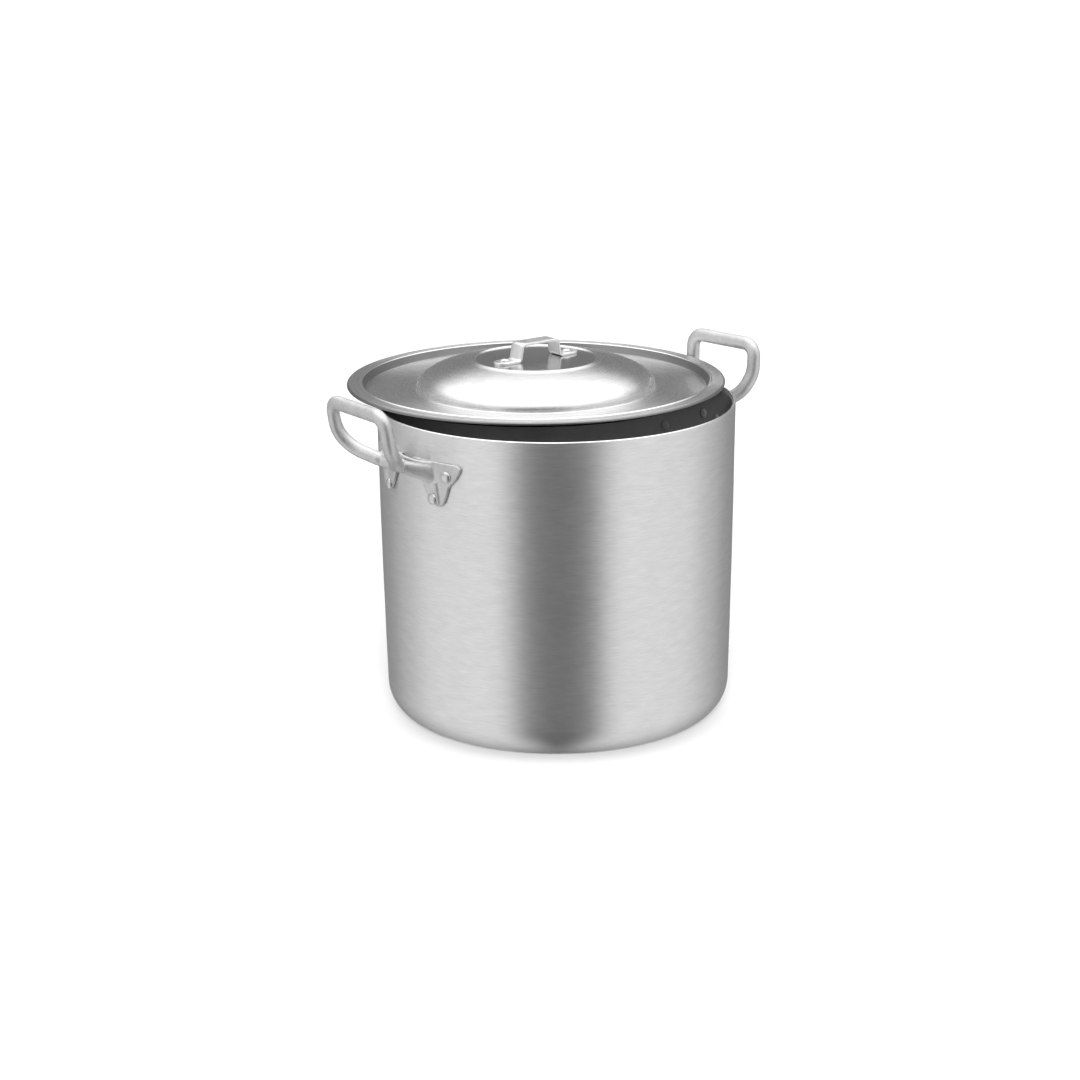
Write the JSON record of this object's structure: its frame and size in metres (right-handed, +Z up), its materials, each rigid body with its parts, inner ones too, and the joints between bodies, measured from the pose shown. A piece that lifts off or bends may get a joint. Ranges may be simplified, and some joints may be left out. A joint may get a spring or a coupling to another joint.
{
  "type": "stock pot",
  "caption": "Tall round aluminium stock pot with a dark-coated inside, riveted cast loop handles and a loose domed lid with a strap handle.",
  "frame": {"origin": "centre of the pot's underside, on the pot's axis", "axes": "+Z up along the pot's axis, +X out through the right handle, +Y towards the side that the lid is slid to"},
  "size_m": [0.3993, 0.3572, 0.3113],
  "materials": {
    "brushed_aluminium": "fine brushing round the wall, bright rolled rim",
    "spun_aluminium": "spun, fine concentric marks",
    "strap_aluminium": "polished strip",
    "cast_aluminium": "tumbled casting, satin",
    "rivet_aluminium": "domed, lightly hammered",
    "dark_coating": "matte dark non-stick coating"
  },
  "bodies": {
    "pot": {"pot_body": "brushed_aluminium", "nonstick_coating": "dark_coating", "right_handle": "cast_aluminium", "left_handle": "cast_aluminium", "right_handle_rivet_1": "rivet_aluminium", "right_handle_rivet_2": "rivet_aluminium", "right_handle_rivet_3": "rivet_aluminium", "right_handle_rivet_4": "rivet_aluminium", "right_handle_rivet_5": "rivet_aluminium", "right_handle_rivet_6": "rivet_aluminium", "left_handle_rivet_1": "rivet_aluminium", "left_handle_rivet_2": "rivet_aluminium", "left_handle_rivet_3": "rivet_aluminium", "left_handle_rivet_4": "rivet_aluminium", "left_handle_rivet_5": "rivet_aluminium", "left_handle_rivet_6": "rivet_aluminium"},
    "lid": {"lid_pan": "spun_aluminium", "lid_strap": "strap_aluminium", "lid_strap_rivet_1": "rivet_aluminium", "lid_strap_rivet_2": "rivet_aluminium"}
  },
  "joints": [
    {"name": "lid_lift", "type": "slide", "parent": "pot", "child": "lid", "axis": [0, 0, 1], "range_m": [0, 0.15]}
  ]
}
